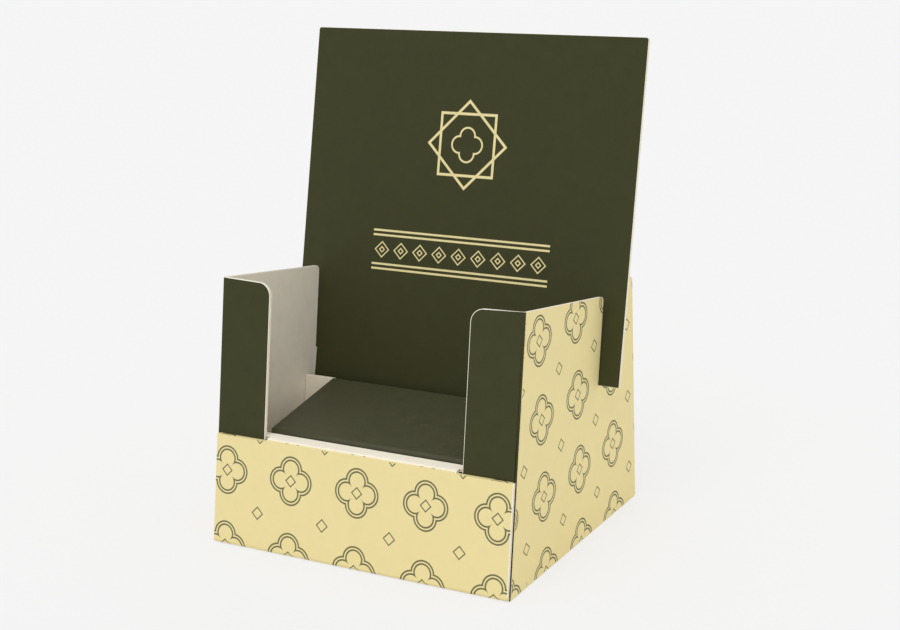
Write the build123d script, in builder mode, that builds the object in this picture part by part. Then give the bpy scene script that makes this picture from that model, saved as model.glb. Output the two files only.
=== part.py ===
"""Counter display stand folded from printed corrugated board.

Three die-cut sheets: an open tray with a low front and high sides, a leaning
header card that drops into slots in the tray's sides, and a folded shelf
that stands inside the tray. Millimetres, +Z up. The origin is on the
surface that the stand rests on, under the middle of its footprint, and the
goods are taken from the -Y side.
"""

from build123d import *
from math import atan, cos, radians, sin, tan
import os

os.makedirs("parts", exist_ok=True)

# Board and clearances
board = 3.0  # thickness of the corrugated board
foldRadius = 2.0  # a fold, measured at the middle of the board
creaseRadius = 1.0  # outer corner of a fold that is made square
slideGap = 0.4  # between layers that slide past each other

# Tray
trayWidth = 300.0
trayDepth = 252.0
frontLean = 10.5  # degrees back from upright
frontHeight = 100.0  # top of the ledge
ledgeDepth = 17.0  # top of the front face to the back of the inner panel
frontInset = 1.2  # each raw end of the front panel stops short of the corner
sideFrontHeight = 234.0  # side wall at its front edge
sideSlotHeight = 208.5  # side wall at the mouth of the header slot
slotMouth = 4.6  # the slot opens by this much in front of the header
sideCornerRadius = 4.5
strutHeight = 212.0  # side walls and rear wall behind the header
strutCornerRadius = 5.0
slotBottom = 131.5
glueFlap = 32.0  # flaps that join the rear wall to the side walls
glueFlapInset = 8.0  # they stop short of the rear wall's ends

# Front wings
wingWidth = 50.5
wingCornerRadius = 12.0
wingTopDrop = 1.5  # the top edge falls towards the free end
wingFoot = 1.5  # above the base panel
wingSlotEndRoom = 4.5  # the ledge slot is this much longer than the wing
ledgeNotchDepth = 2.5  # the fold is cut away in front of each wing

# Header card
headerOverhang = 19.5  # past the outside of each side wall
headerTop = 425.7
headerLean = 13.9  # degrees back from upright
headerSetback = 145.1  # printed face, at the base panel, behind the front
headerCornerRadius = 2.4
headerSideGap = 0.8  # lower part of the card to each side wall
headerFootGap = 1.0

# Shelf
shelfRearHeight = 111.0  # top face at the rear fold
shelfFrontHeight = 102.5  # top face at the front fold
shelfRearSetback = 156.0  # front of the rear leg, at the fold
shelfLegSetback = 139.0  # front of the rear leg, at the base panel
shelfRearWidth = 230.0
shelfFrontWidth = 205.0
shelfSideGap = 0.5  # rear leg to each side wall
shelfShoulderDrop = 1.0  # the rear leg's shoulders end below the fold

# Die-cut nicks where a locking slit in each side's bottom fold ends
nickSetbacks = (33.0, 138.0)
nickWidth = 0.9
nickHeight = 4.0
nickLift = 1.5

frontY = -trayDepth / 2  # lower edge of the front face
rearY = trayDepth / 2
outsideHalf = trayWidth / 2
insideHalf = outsideHalf - board
midBoard = board / 2
onFace = 0.01  # an edge this near to a face lies on it


def frontFace(height, behind=0.0):
    """(Y, Z) on the leaning front face, or on a plane that far behind it."""
    lean = radians(frontLean)
    return (frontY + height * tan(lean) + behind / cos(lean), height)


def headerFace(height, behind=0.0):
    """(Y, Z) on the header's printed face, or on a plane that far behind it."""
    lean = radians(headerLean)
    setback = headerSetback + (height - board) * tan(lean) + behind / cos(lean)
    return (frontY + setback, height)


def cardPoint(along, behind=0.0):
    """(Y, Z) at a distance up the header card from its foot, square behind its face."""
    lean = radians(headerLean)
    footY, footZ = headerFace(board + headerFootGap * cos(lean))
    return (
        footY + along * sin(lean) + behind * cos(lean),
        footZ + along * cos(lean) - behind * sin(lean),
    )


def rearLegFace(height, behind=0.0):
    """(Y, Z) on the front of the shelf's rear leg, or on a plane that far behind it."""
    slope = (shelfRearSetback - shelfLegSetback) / (shelfRearHeight - board)
    setback = shelfLegSetback + (height - board) * slope + behind / cos(atan(slope))
    return (frontY + setback, height)


ledgeBack = frontFace(frontHeight)[0] + ledgeDepth
wingFace = board + slideGap  # outer face of each wing, behind the front face
earBottom = (slotBottom - board) / cos(radians(headerLean)) - headerFootGap
headerLength = (headerTop - board) / cos(radians(headerLean)) - headerFootGap


def boardStrip(points):
    """Section of a folded strip of board whose middle line follows the points."""
    with BuildSketch(Plane.YZ) as section:
        with BuildLine():
            FilletPolyline(*points, radius=foldRadius)
        trace(line_width=board)
    return section.sketch


def outline(points, x=0.0):
    """Closed outline in (Y, Z), standing at the given X."""
    with BuildSketch(Plane.YZ.offset(x)) as section:
        with BuildLine():
            Polyline(*points, close=True)
        make_face()
    return section.sketch


def nearest(vertices, corner):
    """The vertex of a (Y, Z) sketch that is nearest to a corner."""
    return vertices.sort_by_distance((corner[0], corner[1], 0))[0]


# Tray: one blank, folded up round its base panel
innerPanelMiddle = ledgeBack - midBoard
ledgeMiddle = frontHeight - midBoard
ledgeNotchFloor = frontHeight - ledgeNotchDepth
cutTop = frontHeight + board
wingSlotFloor = frontHeight - 2 * board
wingSlotBack = wingFace + board + slideGap
frontRoll = [
    (innerPanelMiddle, board + slideGap),
    (innerPanelMiddle, ledgeMiddle),
    frontFace(ledgeMiddle, midBoard),
    frontFace(midBoard, midBoard),
    (innerPanelMiddle, midBoard),
]
baseAndRear = [
    (innerPanelMiddle - board, midBoard),
    (rearY - midBoard, midBoard),
    (rearY - midBoard, strutHeight),
]
frontPanel = [
    frontFace(ledgeNotchFloor, midBoard),
    frontFace(midBoard, midBoard),
    (frontFace(0, wingFace)[0] + board, midBoard),
]
slotMouthCorner = (headerFace(sideSlotHeight)[0] - slotMouth, sideSlotHeight)
strutCorner = (rearY, strutHeight)
rearFoldCorner = (rearY, 0)
sideWall = [
    frontFace(0, wingFace),
    frontFace(sideFrontHeight, wingFace),
    slotMouthCorner,
    cardPoint(earBottom, -slideGap),
    cardPoint(earBottom, board + slideGap),
    headerFace(strutHeight, board + slideGap),
    strutCorner,
    rearFoldCorner,
]
wingSlot = [
    frontFace(wingSlotFloor, board),
    frontFace(cutTop, board),
    frontFace(cutTop, wingSlotBack),
    frontFace(wingSlotFloor, wingSlotBack),
]
ledgeNotch = [
    frontFace(ledgeNotchFloor, -board),
    frontFace(cutTop, -board),
    frontFace(cutTop, wingFace),
    frontFace(ledgeNotchFloor, wingFace),
]

# The wings lie in a plane that leans with the front
lean = radians(frontLean)
wingPlane = Plane(
    origin=(0, frontFace(0, wingFace)[0], 0),
    x_dir=(1, 0, 0),
    z_dir=(0, -cos(lean), sin(lean)),
)
wingTop = sideFrontHeight / cos(lean)
wingBottom = (board + wingFoot) / cos(lean)
wingInner = outsideHalf - wingWidth
slotInner = wingInner - wingSlotEndRoom
slotLength = outsideHalf - slotInner

with BuildPart() as tray:
    # Base panel with the rear wall, then the front wall rolled over its ledge
    extrude(boardStrip(baseAndRear), amount=insideHalf, both=True)
    extrude(boardStrip(frontRoll), amount=insideHalf - slideGap, both=True)
    extrude(boardStrip(frontPanel), amount=outsideHalf - frontInset, both=True)

    # Slots through the ledge for the wings, with the fold cut away before them
    for side in (-1, 1):
        for cut in (wingSlot, ledgeNotch):
            section = outline(cut, side * slotInner)
            extrude(section, amount=side * slotLength, mode=Mode.SUBTRACT)

    # Side wall with its header slot, the strut behind it and the two nicks
    with BuildSketch(Plane.YZ.offset(insideHalf)) as sideSection:
        with BuildLine():
            Polyline(*sideWall, close=True)
        make_face()
        fillet(nearest(sideSection.vertices(), slotMouthCorner), sideCornerRadius)
        fillet(nearest(sideSection.vertices(), strutCorner), strutCornerRadius)
        fillet(nearest(sideSection.vertices(), rearFoldCorner), foldRadius + midBoard)
        for setback in nickSetbacks:
            with Locations((frontY + setback, nickLift + nickHeight / 2)):
                Rectangle(nickWidth, nickHeight, mode=Mode.SUBTRACT)
    rightSide = extrude(amount=board)
    mirror(rightSide, about=Plane.YZ)

    # Wings, turned in from the front edges of the side walls
    with BuildSketch(wingPlane) as wings:
        with BuildLine():
            Polyline(
                (outsideHalf, wingBottom),
                (outsideHalf, wingTop),
                (wingInner, wingTop - wingTopDrop),
                (wingInner, wingBottom),
                close=True,
            )
        make_face()
        fillet(wings.vertices().group_by(Axis.X)[0].sort_by(Axis.Y)[-1], wingCornerRadius)
        mirror(about=Plane.YZ)
    extrude(amount=-board)

    # Flaps of the rear wall, glued inside the side walls
    flapHeight = strutHeight - 2 * glueFlapInset
    flapY = rearY - board - glueFlap / 2
    flapX = insideHalf - midBoard
    with Locations((-flapX, flapY, strutHeight / 2), (flapX, flapY, strutHeight / 2)):
        Box(board, glueFlap, flapHeight)

    # Folds along the outside: under each side wall and down each front corner
    outerEdges = tray.edges().filter_by(lambda edge: abs(edge.center().X) > outsideHalf - onFace)
    bottomFolds = outerEdges.filter_by(Axis.Y).group_by(Axis.Z)[0]
    cornerFolds = outerEdges.filter_by(Axis((0, 0, 0), (0, sin(lean), cos(lean))))
    fillet(bottomFolds + cornerFolds, creaseRadius)

tray.part.label = "tray"
export_step(tray.part, "parts/tray.step")

# Header card: flat, narrower below its ears so that it passes between the sides
headerFoot = cardPoint(0)
headerPlane = Plane(
    origin=(0, headerFoot[0], headerFoot[1]),
    x_dir=(1, 0, 0),
    z_dir=(0, -cos(radians(headerLean)), sin(radians(headerLean))),
)
lowerHalf = insideHalf - headerSideGap
headerHalf = outsideHalf + headerOverhang

with BuildPart() as header:
    with BuildSketch(headerPlane) as card:
        with BuildLine():
            Polyline(
                (-lowerHalf, 0),
                (lowerHalf, 0),
                (lowerHalf, earBottom),
                (headerHalf, earBottom),
                (headerHalf, headerLength),
                (-headerHalf, headerLength),
                (-headerHalf, earBottom),
                (-lowerHalf, earBottom),
                close=True,
            )
        make_face()
        fillet(card.vertices().group_by(Axis.Y)[-1], headerCornerRadius)
    extrude(amount=-board)

header.part.label = "header_card"
export_step(header.part, "parts/header_card.step")

# Shelf: front leg behind the ledge, tapering top, rear leg across the tray
frontLegMiddle = ledgeBack + slideGap + midBoard
shelfFold = (frontLegMiddle, shelfFrontHeight - midBoard)
rearFold = rearLegFace(shelfRearHeight - midBoard, midBoard)
rearLegTop = shelfRearHeight - midBoard - 2 * foldRadius  # below the end of the fold
shoulderHeight = shelfRearHeight - shelfShoulderDrop
legHalf = insideHalf - shelfSideGap
shelfTop = [(frontLegMiddle, 0), shelfFold, rearFold, rearLegFace(shelfRearHeight / 2, midBoard)]


def rearLeg(bottom, top):
    """Outline of the rear leg's board between two heights."""
    return [
        rearLegFace(bottom),
        rearLegFace(bottom, board),
        rearLegFace(top, board),
        rearLegFace(top),
    ]


with BuildPart() as shelf:
    extrude(boardStrip(shelfTop), amount=shelfRearWidth / 2, both=True)

    # The top and the front leg grow narrower towards the front
    with BuildSketch(Plane.XY.offset(shelfRearHeight)):
        with BuildLine():
            Polyline(
                (shelfFrontWidth / 2, ledgeBack),
                (shelfRearWidth / 2, frontY + shelfRearSetback),
                (outsideHalf, frontY + shelfRearSetback),
                (outsideHalf, ledgeBack),
                close=True,
            )
        make_face()
        mirror(about=Plane.YZ)
    extrude(amount=-shelfRearHeight, mode=Mode.SUBTRACT)

    # Rear leg across the whole tray, with a shoulder at each end of the fold
    extrude(outline(rearLeg(0, rearLegTop)), amount=legHalf, both=True)
    for side in (-1, 1):
        section = outline(rearLeg(rearLegTop - board, shoulderHeight), side * shelfRearWidth / 2)
        extrude(section, amount=side * (legHalf - shelfRearWidth / 2))
    split(bisect_by=Plane.XY.offset(board), keep=Keep.TOP)

shelf.part.label = "shelf"
export_step(shelf.part, "parts/shelf.step")
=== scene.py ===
# Counter display stand of printed corrugated board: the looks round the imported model
from math import cos, pi, radians, sin

import bmesh
import bpy
from mathutils import Matrix, Vector
from mathutils.bvhtree import BVHTree
from mathutils.geometry import tessellate_polygon


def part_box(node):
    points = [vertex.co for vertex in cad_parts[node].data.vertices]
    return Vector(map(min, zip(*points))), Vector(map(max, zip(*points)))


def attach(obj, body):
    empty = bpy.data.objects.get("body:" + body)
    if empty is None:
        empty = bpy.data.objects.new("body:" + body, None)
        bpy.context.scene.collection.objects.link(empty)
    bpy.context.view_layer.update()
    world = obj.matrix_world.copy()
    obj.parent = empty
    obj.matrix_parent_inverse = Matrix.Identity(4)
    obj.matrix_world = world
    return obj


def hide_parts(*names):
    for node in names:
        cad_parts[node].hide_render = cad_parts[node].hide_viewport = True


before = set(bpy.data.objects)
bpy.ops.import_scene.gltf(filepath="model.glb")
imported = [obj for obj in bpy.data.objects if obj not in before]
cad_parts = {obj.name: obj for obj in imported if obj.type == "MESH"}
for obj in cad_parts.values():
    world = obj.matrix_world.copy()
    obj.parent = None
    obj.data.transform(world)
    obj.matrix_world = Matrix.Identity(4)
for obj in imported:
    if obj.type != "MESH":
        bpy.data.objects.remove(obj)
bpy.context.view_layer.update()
print("frame loaded")

mm = 0.001

# Single-wall board: two liners with a fluted sheet between them
board = {
    "thickness": 3.0 * mm,
    "liner": 0.42 * mm,
    "fluteBack": 0.1 * mm,
    "flutePitch": 6.5 * mm,
    "fluteStep": 0.7 * mm,
    "flutePaper": 0.2 * mm,
}

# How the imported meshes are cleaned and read
reading = {
    "weld": 0.002 * mm,
    "sliver": 0.01 * mm,
    "flatWithin": 0.01,  # radians between faces that are joined into one
    "narrowest": 0.1 * mm,  # a cut edge's area is more than this times its outline
    "startDepth": 0.02 * mm,
    "oneLayer": 0.17,  # how far from one and from two boards a liner may measure
    "twoLayers": 0.03,
    "beside": 0.3,  # two faces meet at an edge of the board below this cosine
    "twinPaths": 0.7 * mm,
    "shortestPath": 0.3 * mm,
    "flattenPasses": 12,
    "wallWidth": 0.01 * mm,
}


def linearColour(code):
    channels = [int(code[i:i + 2], 16) / 255 for i in (1, 3, 5)]
    linear = [c / 12.92 if c <= 0.04045 else ((c + 0.055) / 1.055) ** 2.4 for c in channels]
    return (*linear, 1.0)


# Adds one node: settings are its properties, inputs are values or the sockets that feed it
def addNode(tree, kind, inputs=None, **settings):
    node = tree.nodes.new(kind)
    for name, value in settings.items():
        setattr(node, name, value)
    for key, value in (inputs or {}).items():
        if isinstance(value, bpy.types.NodeSocket):
            tree.links.new(value, node.inputs[key])
        else:
            node.inputs[key].default_value = value
    return node


# Camera

cameraView = {
    "place": Vector((785.757, -1279.942, 634.917)) * mm,
    "turn": radians(30.47),
    "dip": radians(16.43),
    "roll": radians(-2.5),
    "lens": 71.014,
}


def makeCamera():
    data = bpy.data.cameras.new("camera")
    data.lens = cameraView["lens"]
    data.sensor_width = 36
    data.clip_end = 50
    camera = bpy.data.objects.new("camera", data)
    bpy.context.scene.collection.objects.link(camera)
    facing = Matrix.Rotation(cameraView["turn"], 4, "Z") @ Matrix.Rotation(pi / 2 - cameraView["dip"], 4, "X")
    spin = Matrix.Rotation(cameraView["roll"], 4, "Z")
    camera.matrix_world = Matrix.Translation(cameraView["place"]) @ facing @ spin
    bpy.context.scene.camera = camera


makeCamera()
print("camera placed")


# Print artwork: sockets of ink masks, from a flat map in metres

# Folds a length about zero
def foldAbout(tree, socket):
    return addNode(tree, "ShaderNodeMath", {0: socket}, operation="ABSOLUTE").outputs[0]


# Quatrefoils on a plain square grid, with a lozenge between each four
diaper = {
    "pitch": 68 * mm,
    "lobeOut": 10.4 * mm,
    "lobe": 10.8 * mm,
    "gap": 2.8 * mm,
    "line": 1.5 * mm,
    "centre": 5.0 * mm,
    "lozenge": 5.5 * mm,
}
inkSoftness = 0.12 * mm  # the ink's spread at a line's edge


# Ink where a distance is within half a line's width of zero
def inkLine(tree, distance, width):
    size = foldAbout(tree, distance)
    return addNode(tree, "ShaderNodeMapRange", {
        0: size, 1: width / 2 - inkSoftness, 2: width / 2 + inkSoftness, 3: 1.0, 4: 0.0,
    }).outputs[0]


# Distance to a quatrefoil's outline, negative inside it: two pairs of lobes and the middle between them
def quatrefoil(tree, across, up, lobeOut, lobe):
    outline = None
    for first, second, out in ((across, up, lobeOut), (up, across, lobeOut), (across, up, 0)):
        along = addNode(tree, "ShaderNodeMath", {0: first, 1: out}, operation="SUBTRACT").outputs[0]
        point = addNode(tree, "ShaderNodeCombineXYZ", {0: along, 1: second}).outputs[0]
        reach = addNode(tree, "ShaderNodeVectorMath", {0: point}, operation="LENGTH").outputs["Value"]
        edge = addNode(tree, "ShaderNodeMath", {0: reach, 1: lobe}, operation="SUBTRACT").outputs[0]
        if outline:
            edge = addNode(tree, "ShaderNodeMath", {0: outline, 1: edge}, operation="MINIMUM").outputs[0]
        outline = edge
    return outline


# The strongest of several ink masks
def overprint(tree, masks):
    ink = masks[0]
    for mask in masks[1:]:
        ink = addNode(tree, "ShaderNodeMath", {0: ink, 1: mask}, operation="MAXIMUM").outputs[0]
    return ink


def diaperInk(tree):
    flat = addNode(tree, "ShaderNodeUVMap", uv_map="print").outputs[0]
    sides = addNode(tree, "ShaderNodeSeparateXYZ", {0: flat}).outputs
    cell = []
    for side in (0, 1):
        wrapped = addNode(tree, "ShaderNodeMath", {
            0: sides[side], 1: -diaper["pitch"] / 2, 2: diaper["pitch"] / 2,
        }, operation="WRAP").outputs[0]
        cell.append(foldAbout(tree, wrapped))
    outline = quatrefoil(tree, cell[0], cell[1], diaper["lobeOut"], diaper["lobe"])
    inner = addNode(tree, "ShaderNodeMath", {0: outline, 1: diaper["gap"]}, operation="ADD").outputs[0]
    taxi = addNode(tree, "ShaderNodeMath", {0: cell[0], 1: cell[1]}, operation="ADD").outputs[0]
    centre = addNode(tree, "ShaderNodeMath", {0: taxi, 1: diaper["centre"]}, operation="SUBTRACT").outputs[0]
    corner = addNode(tree, "ShaderNodeMath", {
        0: taxi, 1: diaper["pitch"] - diaper["lozenge"],
    }, operation="SUBTRACT").outputs[0]
    return overprint(tree, [
        inkLine(tree, outline, diaper["line"]),
        inkLine(tree, inner, diaper["line"]),
        inkLine(tree, centre, diaper["line"]),
        inkLine(tree, corner, diaper["line"]),
    ])


# Measured down the card from its top edge
headerArt = {
    "starDown": 102 * mm,
    "starSquare": 28 * mm,
    "starLine": 2.4 * mm,
    "foilOut": 8.0 * mm,
    "foilLobe": 7.6 * mm,
    "foilLine": 1.68 * mm,
    "bandDown": 204 * mm,
    "bandHalf": 92 * mm,
    "ruleGap": 13.5 * mm,
    "ruleStep": 4.4 * mm,
    "ruleLine": 1.9 * mm,
    "chainPitch": 184 / 9 * mm,  # nine whole links
    "chainSizes": (7.2 * mm, 2.52 * mm),
    "chainLine": 1.52 * mm,
}


def headerInk(tree):
    flat = addNode(tree, "ShaderNodeUVMap", uv_map="print").outputs[0]
    sides = addNode(tree, "ShaderNodeSeparateXYZ", {0: flat}).outputs
    across = foldAbout(tree, sides[0])

    # Eight-pointed star of two squares, round a quatrefoil
    starUp = addNode(tree, "ShaderNodeMath", {
        0: sides[1], 1: headerArt["starDown"],
    }, operation="ADD").outputs[0]
    up = foldAbout(tree, starUp)
    square = addNode(tree, "ShaderNodeMath", {0: across, 1: up}, operation="MAXIMUM").outputs[0]
    taxi = addNode(tree, "ShaderNodeMath", {0: across, 1: up}, operation="ADD").outputs[0]
    turned = addNode(tree, "ShaderNodeMath", {0: taxi, 1: 0.5 ** 0.5}, operation="MULTIPLY").outputs[0]
    ink = []
    for shape in (square, turned):
        outer = addNode(tree, "ShaderNodeMath", {
            0: shape, 1: headerArt["starSquare"],
        }, operation="SUBTRACT").outputs[0]
        ink.append(inkLine(tree, outer, headerArt["starLine"]))
    foil = quatrefoil(tree, across, up, headerArt["foilOut"], headerArt["foilLobe"])
    ink.append(inkLine(tree, foil, headerArt["foilLine"]))

    # A chain of lozenges between double rules
    bandUp = addNode(tree, "ShaderNodeMath", {
        0: sides[1], 1: headerArt["bandDown"],
    }, operation="ADD").outputs[0]
    height = foldAbout(tree, bandUp)
    band = []
    for step in (0, headerArt["ruleStep"]):
        rule = addNode(tree, "ShaderNodeMath", {
            0: height, 1: headerArt["ruleGap"] + step,
        }, operation="SUBTRACT")
        band.append(inkLine(tree, rule.outputs[0], headerArt["ruleLine"]))
    link = addNode(tree, "ShaderNodeMath", {
        0: sides[0], 1: -headerArt["chainPitch"] / 2, 2: headerArt["chainPitch"] / 2,
    }, operation="WRAP").outputs[0]
    diamond = addNode(tree, "ShaderNodeMath", {0: foldAbout(tree, link), 1: height}, operation="ADD").outputs[0]
    for size in headerArt["chainSizes"]:
        rim = addNode(tree, "ShaderNodeMath", {0: diamond, 1: size}, operation="SUBTRACT").outputs[0]
        band.append(inkLine(tree, rim, headerArt["chainLine"]))
    inside = addNode(tree, "ShaderNodeMath", {0: across, 1: headerArt["bandHalf"]}, operation="LESS_THAN")
    bandInk = addNode(tree, "ShaderNodeMath", {
        0: overprint(tree, band), 1: inside.outputs[0],
    }, operation="MULTIPLY").outputs[0]
    return overprint(tree, ink + [bandInk])


# Materials

paper = {
    "fibre": 0.35 * mm,
    "formation": 14 * mm,  # cloudy density of the sheet
    "washboard": 0.012 * mm,
    "tooth": 0.02 * mm,
    "bump": 0.8,
    "roughSpread": 0.05,
    "noiseLow": 0.3,  # the middle of the noise, stretched over the whole spread
    "noiseHigh": 0.7,
    "index": 1.48,
}


def boardMaterial(name, code, roughness, shine, art=None, artCode=None, cloud=0.04, washboard=True):
    material = bpy.data.materials.new(name)
    material.use_nodes = True
    tree = material.node_tree
    shader = tree.nodes["Principled BSDF"]
    shader.inputs["IOR"].default_value = paper["index"]
    shader.inputs["Specular IOR Level"].default_value = shine
    place = addNode(tree, "ShaderNodeTexCoord").outputs["Object"]

    # Cloudy formation of the paper, then single fibres
    clouds = addNode(tree, "ShaderNodeTexNoise", {
        "Vector": place, "Scale": 1 / paper["formation"], "Detail": 5.0, "Roughness": 0.6,
    }).outputs[0]
    fibres = addNode(tree, "ShaderNodeTexNoise", {
        "Vector": place, "Scale": 1 / paper["fibre"], "Detail": 3.0, "Roughness": 0.65, "Distortion": 1.2,
    }).outputs[0]
    spread = {1: paper["noiseLow"], 2: paper["noiseHigh"], 3: 1 - cloud, 4: 1 + cloud}
    shade = addNode(tree, "ShaderNodeMapRange", {0: clouds, **spread}).outputs[0]
    grain = addNode(tree, "ShaderNodeMapRange", {0: fibres, **spread}).outputs[0]
    value = addNode(tree, "ShaderNodeMath", {0: shade, 1: grain}, operation="MULTIPLY").outputs[0]
    ground = linearColour(code)
    if art:
        ground = addNode(tree, "ShaderNodeMix", {
            0: art(tree), 6: ground, 7: linearColour(artCode),
        }, data_type="RGBA").outputs[2]
    tinted = addNode(tree, "ShaderNodeMix", {
        0: 1.0, 6: ground, 7: value,
    }, data_type="RGBA", blend_type="MULTIPLY").outputs[2]
    tree.links.new(tinted, shader.inputs["Base Color"])

    rough = addNode(tree, "ShaderNodeMapRange", {
        0: clouds, 1: paper["noiseLow"], 2: paper["noiseHigh"],
        3: roughness - paper["roughSpread"], 4: roughness + paper["roughSpread"],
    }).outputs[0]
    tree.links.new(rough, shader.inputs["Roughness"])

    # Fibre tooth, and the faint ridges where the liner bridges the flutes
    height = addNode(tree, "ShaderNodeMath", {0: fibres, 1: paper["tooth"]}, operation="MULTIPLY").outputs[0]
    if washboard:
        ridge = addNode(tree, "ShaderNodeUVMap", uv_map="flute").outputs[0]
        phase = addNode(tree, "ShaderNodeSeparateXYZ", {0: ridge}).outputs[0]
        angle = addNode(tree, "ShaderNodeMath", {
            0: phase, 1: 2 * pi / board["flutePitch"],
        }, operation="MULTIPLY")
        wave = addNode(tree, "ShaderNodeMath", {0: angle.outputs[0]}, operation="SINE").outputs[0]
        height = addNode(tree, "ShaderNodeMath", {
            0: wave, 1: paper["washboard"], 2: height,
        }, operation="MULTIPLY_ADD").outputs[0]
    bump = addNode(tree, "ShaderNodeBump", {
        "Height": height, "Distance": 1.0, "Strength": paper["bump"],
    })
    tree.links.new(bump.outputs[0], shader.inputs["Normal"])
    return material


materials = {
    # Offset-printed clay-coated liner under matt varnish: pale straw yellow with olive line work
    "palePrint": boardMaterial("matt varnished straw print", "#EEDEA2", 0.6, 0.3, diaperInk, "#6E6D4C", 0.015),
    # The same liner printed solid, so dark that it shows a little sheen
    "darkPrint": boardMaterial("matt varnished olive print", "#3F4027", 0.55, 0.1, cloud=0.05),
    # The olive print again with painted light: its colour is made lighter to stand in for the light the shelf
    # catches, and it is a little glossier
    "shelfPrint": boardMaterial("matt varnished olive print, handled", "#464631", 0.5, 0.3, cloud=0.05),
    "headerPrint": boardMaterial(
        "matt varnished olive print with straw artwork", "#3F4027", 0.55, 0.1, headerInk, "#EBDDA4", 0.05),
    # Unprinted back of the liner, warm white and fully matt
    "plainLiner": boardMaterial("uncoated white kraft liner", "#FCF4E2", 0.85, 0.2, cloud=0.03),
    # Its cut edge, a little fuzzy and paler
    "cutLiner": boardMaterial("die-cut liner edge", "#FAF4E6", 0.9, 0.2, cloud=0.03, washboard=False),
    # Semi-chemical fluting paper, greyer than the liners
    "fluting": boardMaterial("fluting paper", "#F0E7D5", 0.9, 0.2, cloud=0.04, washboard=False),
}
materialOrder = ["palePrint", "darkPrint", "shelfPrint", "headerPrint", "plainLiner", "cutLiner", "fluting"]
print("materials made")


# Flutes seen between the liners along the cut edges

def fluteTree():
    tree = bpy.data.node_groups.new("flutes along cut edges", "GeometryNodeTree")
    tree.interface.new_socket("Geometry", in_out="INPUT", socket_type="NodeSocketGeometry")
    for name in ("Pitch", "Height", "Step", "Depth"):
        tree.interface.new_socket(name, in_out="INPUT", socket_type="NodeSocketFloat")
    tree.interface.new_socket("Paper", in_out="INPUT", socket_type="NodeSocketMaterial")
    tree.interface.new_socket("Geometry", in_out="OUTPUT", socket_type="NodeSocketGeometry")
    given = addNode(tree, "NodeGroupInput").outputs
    lines = addNode(tree, "GeometryNodeMeshToCurve", {0: given["Geometry"]}).outputs[0]
    finer = addNode(tree, "GeometryNodeResampleCurve", {"Curve": lines, "Length": given["Step"]}, mode="LENGTH")

    # The wave runs across the flutes and swings from liner to liner
    across, boardNormal, inward = (
        addNode(tree, "GeometryNodeInputNamedAttribute", {"Name": name}, data_type="FLOAT_VECTOR")
        for name in ("fluteAcross", "boardNormal", "intoBoard")
    )
    place = addNode(tree, "GeometryNodeInputPosition").outputs[0]
    along = addNode(tree, "ShaderNodeVectorMath", {0: place, 1: across.outputs[0]}, operation="DOT_PRODUCT")
    turns = addNode(tree, "ShaderNodeMath", {0: along.outputs["Value"], 1: given["Pitch"]}, operation="DIVIDE")
    angle = addNode(tree, "ShaderNodeMath", {0: turns.outputs[0], 1: 2 * pi}, operation="MULTIPLY").outputs[0]
    wave = addNode(tree, "ShaderNodeMath", {0: angle}, operation="SINE").outputs[0]
    swing = addNode(tree, "ShaderNodeMath", {0: wave, 1: given["Height"]}, operation="MULTIPLY").outputs[0]
    offset = addNode(tree, "ShaderNodeVectorMath", {
        0: boardNormal.outputs[0], "Scale": swing,
    }, operation="SCALE")
    waved = addNode(tree, "GeometryNodeSetPosition", {
        "Geometry": finer.outputs[0], "Offset": offset.outputs[0],
    })
    strip = addNode(tree, "GeometryNodeCurveToMesh", {"Curve": waved.outputs[0]}).outputs[0]
    deeper = addNode(tree, "GeometryNodeExtrudeMesh", {
        "Mesh": strip, "Offset": inward.outputs[0], "Offset Scale": given["Depth"],
    }, mode="EDGES").outputs[0]
    whole = addNode(tree, "GeometryNodeRealizeInstances", {0: deeper}).outputs[0]
    papered = addNode(tree, "GeometryNodeSetMaterial", {
        "Geometry": whole, "Material": given["Paper"],
    }).outputs[0]
    addNode(tree, "NodeGroupOutput", {0: papered})
    return tree


flutes = fluteTree()


# A plain mesh of an object with its modifiers worked in
def plainMesh(piece):
    bpy.context.view_layer.update()
    evaluated = piece.evaluated_get(bpy.context.evaluated_depsgraph_get())
    mesh = bpy.data.meshes.new_from_object(evaluated)
    piece.modifiers.clear()
    piece.data = mesh
    return piece


# Nothing reaches below the surface that the stand rests on
def settle(mesh):
    for vert in mesh.vertices:
        vert.co.z = max(vert.co.z, 0.0)


def addObject(name, mesh):
    piece = bpy.data.objects.new(name, mesh)
    bpy.context.scene.collection.objects.link(piece)
    return piece


def makeFlutes(name, paths, depth):
    mesh = bpy.data.meshes.new(name)
    ends = [point for path in paths for point in path["ends"]]
    mesh.from_pydata(ends, [(i, i + 1) for i in range(0, len(ends), 2)], [])
    for key in ("boardNormal", "intoBoard", "fluteAcross"):
        values = mesh.attributes.new(key, "FLOAT_VECTOR", "POINT")
        flat = [number for path in paths for _ in (0, 1) for number in path[key]]
        values.data.foreach_set("vector", flat)
    piece = addObject(name, mesh)
    modifier = piece.modifiers.new("flutes", "NODES")
    modifier.node_group = flutes
    swing = board["thickness"] / 2 - board["liner"] - board["flutePaper"] / 2
    sizes = {
        "Pitch": board["flutePitch"],
        "Height": swing,
        "Step": board["fluteStep"],
        "Depth": depth + board["fluteBack"],
        "Paper": materials["fluting"],
    }
    for item in flutes.interface.items_tree:
        if item.name in sizes:
            modifier[item.identifier] = sizes[item.name]
    wall = piece.modifiers.new("paper", "SOLIDIFY")
    wall.thickness = board["flutePaper"]
    wall.offset = 0
    return plainMesh(piece)


# Board pieces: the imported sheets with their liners, cut edges and print

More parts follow.
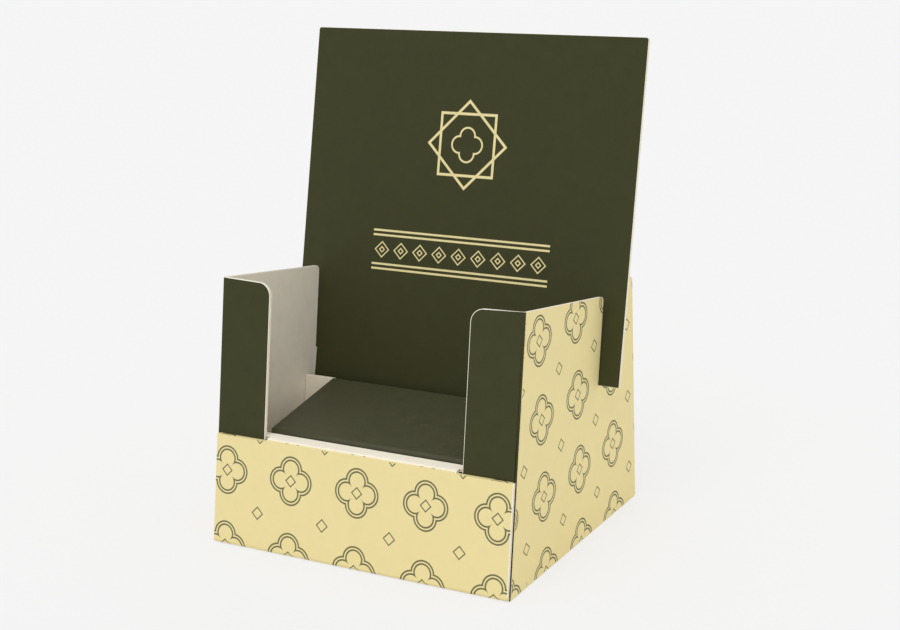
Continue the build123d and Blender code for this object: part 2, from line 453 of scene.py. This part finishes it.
# Area-weighted vote on how thick the board is behind a face
def boardBehind(face, tree):
    points = [vert.co for vert in face.verts]
    best = {}
    for corners in tessellate_polygon([points]):
        a, b, c = (points[i] for i in corners)
        area = (b - a).cross(c - a).length / 2
        start = (a + b + c) / 3 - face.normal * reading["startDepth"]
        hit = tree.ray_cast(start, -face.normal)
        depth = round((hit[3] or 1.0) / mm, 1)
        best[depth] = best.get(depth, 0) + area
    return max(best, key=best.get) * mm


# A face with one or two boards' thickness behind it is a liner's, and any other is a cut edge
def isCut(face, tree, crease):
    if face.calc_area() < reading["narrowest"] * face.calc_perimeter():
        return False
    layers = boardBehind(face, tree) / board["thickness"]
    sound = abs(layers - 1) < reading["oneLayer"] or abs(layers - 2) < reading["twoLayers"]
    return not sound and not crease(face)


# Lines midway between the liners along every cut edge
def cutPaths(cuts, acrossFlutes):
    inCuts = set(cuts)
    paths = []
    for face in cuts:
        for edge in face.edges:
            for liner in edge.link_faces:
                if liner in inCuts or abs(liner.normal.dot(face.normal)) > reading["beside"]:
                    continue
                shift = -liner.normal * board["thickness"] / 2 - face.normal * board["fluteBack"]
                ends = [vert.co + shift for vert in edge.verts]
                middle = (ends[0] + ends[1]) / 2
                twin = any((middle - path["middle"]).length < reading["twinPaths"] for path in paths)
                if twin or edge.calc_length() < reading["shortestPath"]:
                    continue
                paths.append({
                    "ends": ends,
                    "middle": middle,
                    "boardNormal": liner.normal.copy(),
                    "intoBoard": -face.normal,
                    "fluteAcross": acrossFlutes(liner.normal, middle),
                })
    return paths


# Flat coordinates on a face: across it and up it
def flatAxes(normal):
    if abs(normal.z) > 0.9:
        return Vector((1, 0, 0)), Vector((0, 1, 0))
    right = Vector((0, 0, 1)).cross(normal).normalized()
    return right, normal.cross(right)


# The facts give a piece's die-cut edges: the width of the pale band along each cut, its dip, and how far the
# flutes spring back; and the height below which that band keeps its face's own colour
def makeBoard(nodeName, pieceName, facts, surface, acrossFlutes, crease, origin, prepare=None):
    sheet = bmesh.new()
    sheet.from_mesh(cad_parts[nodeName].data)
    bmesh.ops.remove_doubles(sheet, verts=sheet.verts, dist=reading["weld"])
    bmesh.ops.dissolve_degenerate(sheet, dist=reading["sliver"], edges=sheet.edges)
    bmesh.ops.dissolve_limit(sheet, angle_limit=reading["flatWithin"], verts=sheet.verts, edges=sheet.edges)
    if prepare:
        prepare(sheet)
    sheet.normal_update()
    tree = BVHTree.FromBMesh(sheet)
    cuts = []
    for face in sheet.faces:
        if isCut(face, tree, crease):
            cuts.append(face)
            face.material_index = materialOrder.index("fluting")
        else:
            face.material_index = materialOrder.index(surface(face))
    paths = cutPaths(cuts, acrossFlutes)

    # A narrow band along each cut, above a given height, takes the pale cut-liner colour, and the knife presses
    # the liner in there. The inset's corners are brought back onto their faces.
    cutSet = set(cuts)
    liners = [face for face in sheet.faces if face not in cutSet]
    planes = [(face, face.normal.copy(), face.calc_center_median()) for face in liners]
    paleEdgeBand = bmesh.ops.inset_region(sheet, faces=liners, thickness=facts["paleEdgeBand"], depth=0)["faces"]
    for _ in range(reading["flattenPasses"]):
        for face, normal, middle in planes:
            for vert in face.verts:
                vert.co -= normal * (vert.co - middle).dot(normal)
    pressed = cutSet | set(paleEdgeBand)
    sheet.normal_update()
    dips = {}
    for face in paleEdgeBand:
        if face.calc_center_median().z >= facts["paleEdgeBandAbove"]:
            face.material_index = materialOrder.index("cutLiner")
        for vert in face.verts:
            others = set(vert.link_faces)
            if others & cutSet and others <= pressed:
                dips.setdefault(vert, []).append(face.normal.copy())
    for vert, normals in dips.items():
        vert.co -= sum(normals, Vector()).normalized() * facts["dip"]

    # Liners stand at both sides of each cut, and the flutes lie a little back
    rim = bmesh.ops.inset_region(sheet, faces=cuts, thickness=board["liner"], depth=0)
    wall = bmesh.ops.inset_region(sheet, faces=cuts, thickness=reading["wallWidth"], depth=-facts["depth"])
    for face in rim["faces"] + wall["faces"]:
        face.material_index = materialOrder.index("cutLiner")
    sheet.normal_update()

    flat = sheet.loops.layers.uv.new("print")
    ridges = sheet.loops.layers.uv.new("flute")
    for face in sheet.faces:
        right, up = flatAxes(face.normal)
        across = acrossFlutes(face.normal, face.calc_center_median())
        for loop in face.loops:
            place = loop.vert.co - origin
            loop[flat].uv = (place.dot(right), place.dot(up))
            loop[ridges].uv = (loop.vert.co.dot(across), 0)
    mesh = bpy.data.meshes.new(pieceName)
    sheet.to_mesh(mesh)
    sheet.free()
    settle(mesh)
    for name in materialOrder:
        mesh.materials.append(materials[name])
    piece = addObject(pieceName, mesh)
    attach(piece, "root")
    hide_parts(nodeName)
    print(pieceName, len(mesh.polygons), "faces,", len(paths), "cut edges")
    ribs = makeFlutes(pieceName + "_flutes", paths, facts["depth"])
    settle(ribs.data)
    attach(ribs, "root")
    return piece, ribs


# Tray

low, high = map(Vector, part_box("tray"))
trayFacts = {
    "paleEdgeBand": 0.55 * mm,
    "dip": 0.14 * mm,
    "depth": 0.45 * mm,
    "paleEdgeBandAbove": 7 * mm,
    "lean": radians(10.5),
    "frontEdge": Vector((0, -126 * mm, 0)),
    "outside": high.x,
    "inside": high.x - board["thickness"],
    "rear": high.y,
    "wingReach": 50.5 * mm,
    "wingPrintBehind": 4 * mm,  # each wing's printed face lies less than this behind the front's
    "creaseReach": 1.2 * mm,  # the rounded folds lie this near to the outside
    "notchLow": 95 * mm,
    "notchHigh": 99 * mm,
    "notchFrom": 95 * mm,  # out from the middle
    "notchBack": 3.2 * mm,
    "rollTop": 98.5 * mm,  # print runs this far up the front fold
    "wallTop": 233.2 * mm,
    "topsApart": 0.2 * mm,
}
leanNormal = Vector((0, -cos(trayFacts["lean"]), sin(trayFacts["lean"])))


def behindFront(place):
    return -(place - trayFacts["frontEdge"]).dot(leanNormal)


# The fold's edge where it is cut away before each wing: crushed, with the print drawn over it
def inNotch(face):
    place = face.calc_center_median()
    raised = trayFacts["notchLow"] < place.z < trayFacts["notchHigh"] and face.normal.z > 0.5
    return raised and behindFront(place) < trayFacts["notchBack"] and abs(place.x) > trayFacts["notchFrom"]


def trayCrease(face):
    turned = 0.01 < abs(face.normal.x) < 0.9999
    atSide = abs(face.calc_center_median().x) > trayFacts["outside"] - trayFacts["creaseReach"]
    return inNotch(face) or turned and atSide


def traySurface(face):
    place = face.calc_center_median()
    normal = face.normal
    facing = normal.dot(leanNormal)
    behind = behindFront(place)

    # Outsides of the side walls and their folds; the corner folds carry the wings' print
    if abs(place.x) > trayFacts["outside"] - trayFacts["creaseReach"] and abs(normal.x) > 0.02:
        onFold = abs(normal.x) < 0.7
        if onFold and behind < 6 * mm and place.z > 3 * mm:
            return "darkPrint"
        return "plainLiner" if normal.z < -0.95 else "palePrint"

    # Front, with the print ending in its top fold
    endsAt = 0.85 if place.z > 50 * mm else 0.1
    if facing > endsAt and behind < 2 * mm or behind < 0.3 * mm and place.z < trayFacts["rollTop"]:
        return "palePrint"
    if inNotch(face):
        return "palePrint"
    if facing > 0.98 and behind < trayFacts["wingPrintBehind"] and place.z > 5 * mm:
        return "darkPrint"
    if normal.y > 0.7 and place.y > trayFacts["rear"] - board["thickness"] / 2:
        return "palePrint"
    return "plainLiner"


# The direction that crosses the flutes, which run up the side walls and the wings, front to back in
# the glue flaps, and from side to side in the rest
def trayFlutes(normal, place):
    if abs(normal.x) > 0.7:
        glued = trayFacts["inside"] - abs(place.x) > 1 * mm
        return Vector((0, 0, 1)) if glued else Vector((0, 1, 0))
    behindPanel = 2 * mm < behindFront(place) < 7 * mm
    inWing = behindPanel and abs(place.x) > trayFacts["outside"] - trayFacts["wingReach"] - 1 * mm
    if inWing and abs(normal.dot(leanNormal)) > 0.9:
        return Vector((1, 0, 0))
    return normal.cross(Vector((1, 0, 0))).normalized()


# The faces with their edges and corners, as bisecting wants them
def wholeOf(faces):
    return list(dict.fromkeys(part for face in faces for part in (face, *face.edges, *face.verts)))


# Corners at the tops of the side walls, on the inside
def wallTops(sheet):
    return [
        vert for vert in sheet.verts
        if vert.co.z > trayFacts["wallTop"] and abs(abs(vert.co.x) - trayFacts["inside"]) < 0.05 * mm
    ]


def prepareTray(sheet):
    # The rear wall stands between the side walls, so their cut edges show beside it
    for side in (-1, 1):
        rear = [
            face for face in sheet.faces
            if face.normal.y > 0.2 and face.calc_center_median().y > trayFacts["rear"] - 4 * mm
        ]
        bmesh.ops.bisect_plane(
            sheet, geom=wholeOf(rear), dist=0.001 * mm,
            plane_co=(side * trayFacts["inside"], 0, 0), plane_no=(side, 0, 0),
        )

    # Each side wall's top runs into its wing's without a step
    for vert in wallTops(sheet):
        if 5 * mm < behindFront(vert.co) < 7 * mm:
            walls = [face for face in vert.link_faces if abs(face.normal.x) > 0.99]
            bmesh.ops.bisect_plane(
                sheet, geom=wholeOf(walls), dist=0.001 * mm, plane_co=vert.co, plane_no=(0, 1, 0),
            )
    bmesh.ops.remove_doubles(sheet, verts=wallTops(sheet), dist=trayFacts["topsApart"])


tray = makeBoard(
    "tray", "tray_board", trayFacts, traySurface, trayFlutes, trayCrease, trayFacts["frontEdge"], prepareTray)
print("tray made")


# Header card

low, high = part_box("header_card")
headerFacts = {
    "paleEdgeBand": 0.25 * mm,
    "dip": 0.1 * mm,
    "depth": 0.45 * mm,
    "paleEdgeBandAbove": 0.0,
    "lean": radians(13.9),
}
headerNormal = Vector((0, -cos(headerFacts["lean"]), sin(headerFacts["lean"])))
headerTopEdge = Vector((0, high[1] - board["thickness"] * cos(headerFacts["lean"]), high[2]))


def headerSurface(face):
    return "headerPrint" if face.normal.dot(headerNormal) > 0.9 else "plainLiner"


def acrossWidth(normal, place):
    return Vector((1, 0, 0))


def noCrease(face):
    return False


header = makeBoard(
    "header_card", "header_board", headerFacts, headerSurface, acrossWidth, noCrease, headerTopEdge)
print("header made")


# Shelf

low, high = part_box("shelf")
shelfFacts = {
    "paleEdgeBand": 0.12 * mm,
    "dip": 0.05 * mm,
    "depth": 1.2 * mm,
    "paleEdgeBandAbove": 0.0,
    "middle": (low[1] + high[1]) / 2,
}


# The print is on top and on the outer face of each leg, in the olive print painted lighter for the light on the
# shelf
def shelfSurface(face):
    normal = face.normal
    before = face.calc_center_median().y < shelfFacts["middle"]
    outward = normal.y < -0.5 if before else normal.y > 0.5
    return "shelfPrint" if normal.z > 0.2 or outward else "plainLiner"


shelf = makeBoard("shelf", "shelf_board", shelfFacts, shelfSurface, acrossWidth, noCrease, Vector((0, 0, 0)))
print("shelf made")


# Floor, light and world

studio = {
    "floorCode": "#F5F5F5",
    "floorSize": 30.0,
    "floorGlow": 0.7,  # share of the floor's seen colour that takes no shadow
    "world": 0.83,
    "sun": 0.62,
    "sunSpread": radians(40),
    "sunFrom": Vector((0.12, -0.65, 1.5)),
    "backdrop": 0.92,  # the world's strength where it is seen
}


def makeStudio():
    mesh = bpy.data.meshes.new("floor")
    half = studio["floorSize"] / 2
    corners = [(-half, -half, 0), (half, -half, 0), (half, half, 0), (-half, half, 0)]
    mesh.from_pydata(corners, [], [(0, 1, 2, 3)])
    material = bpy.data.materials.new("matt white paper sweep")
    material.use_nodes = True
    shader = material.node_tree.nodes["Principled BSDF"]
    shader.inputs["Base Color"].default_value = linearColour(studio["floorCode"])
    shader.inputs["Roughness"].default_value = 1.0
    shader.inputs["Specular IOR Level"].default_value = 0.0
    floorTree = material.node_tree
    floorRays = addNode(floorTree, "ShaderNodeLightPath").outputs
    share = addNode(floorTree, "ShaderNodeMath", {
        0: floorRays["Is Camera Ray"], 1: studio["floorGlow"],
    }, operation="MULTIPLY").outputs[0]
    glow = addNode(floorTree, "ShaderNodeEmission", {0: linearColour(studio["floorCode"]), 1: 1.0}).outputs[0]
    mixed = addNode(floorTree, "ShaderNodeMixShader", {0: share, 1: shader.outputs[0], 2: glow}).outputs[0]
    floorTree.links.new(mixed, floorTree.nodes["Material Output"].inputs["Surface"])
    mesh.materials.append(material)
    addObject("floor", mesh)

    lamp = bpy.data.lights.new("key", "SUN")
    lamp.energy = studio["sun"]
    lamp.angle = studio["sunSpread"]
    key = bpy.data.objects.new("key", lamp)
    key.rotation_euler = studio["sunFrom"].to_track_quat("Z", "Y").to_euler()
    bpy.context.scene.collection.objects.link(key)

    world = bpy.data.worlds.new("studio")
    world.use_nodes = True
    tree = world.node_tree
    back = tree.nodes["Background"]
    rays = addNode(tree, "ShaderNodeLightPath").outputs
    seen = addNode(tree, "ShaderNodeMath", {
        0: rays["Is Camera Ray"], 1: rays["Is Glossy Ray"],
    }, operation="MAXIMUM").outputs[0]
    seen = addNode(tree, "ShaderNodeMath", {
        0: seen, 1: rays["Is Transmission Ray"],
    }, operation="MAXIMUM").outputs[0]
    strength = addNode(tree, "ShaderNodeMapRange", {
        0: seen, 3: studio["world"], 4: studio["backdrop"],
    }).outputs[0]
    tree.links.new(strength, back.inputs["Strength"])
    back.inputs["Color"].default_value = (1, 1, 1, 1)
    bpy.context.scene.world = world


makeStudio()
bpy.context.scene.view_settings.view_transform = "Standard"
print("studio lit")
